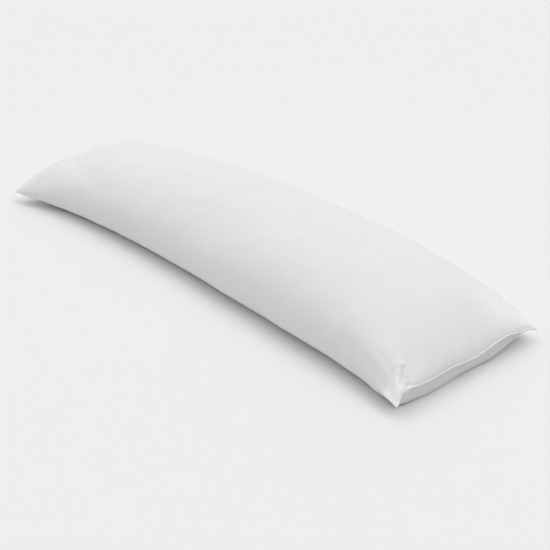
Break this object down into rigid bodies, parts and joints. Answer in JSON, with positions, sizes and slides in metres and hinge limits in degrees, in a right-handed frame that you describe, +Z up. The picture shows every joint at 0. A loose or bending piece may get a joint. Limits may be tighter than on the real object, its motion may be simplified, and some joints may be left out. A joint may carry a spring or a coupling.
{
  "type": "body pillow",
  "caption": "Long rectangular filled pillow with a high crown, drawn-in long sides and flat pointed corners, lying on its back.",
  "frame": {"origin": "on the resting face, below the middle of the four corner tips", "axes": "+X along the pillow towards its fuller end, +Y towards the long side with the seam, +Z up"},
  "size_m": [1.56, 0.4904, 0.2134],
  "materials": {
    "white_cotton": "plain-woven white cotton, matt, with a faint fuzz sheen"
  },
  "bodies": {
    "root": {"pillow": "white_cotton"}
  },
  "joints": []
}
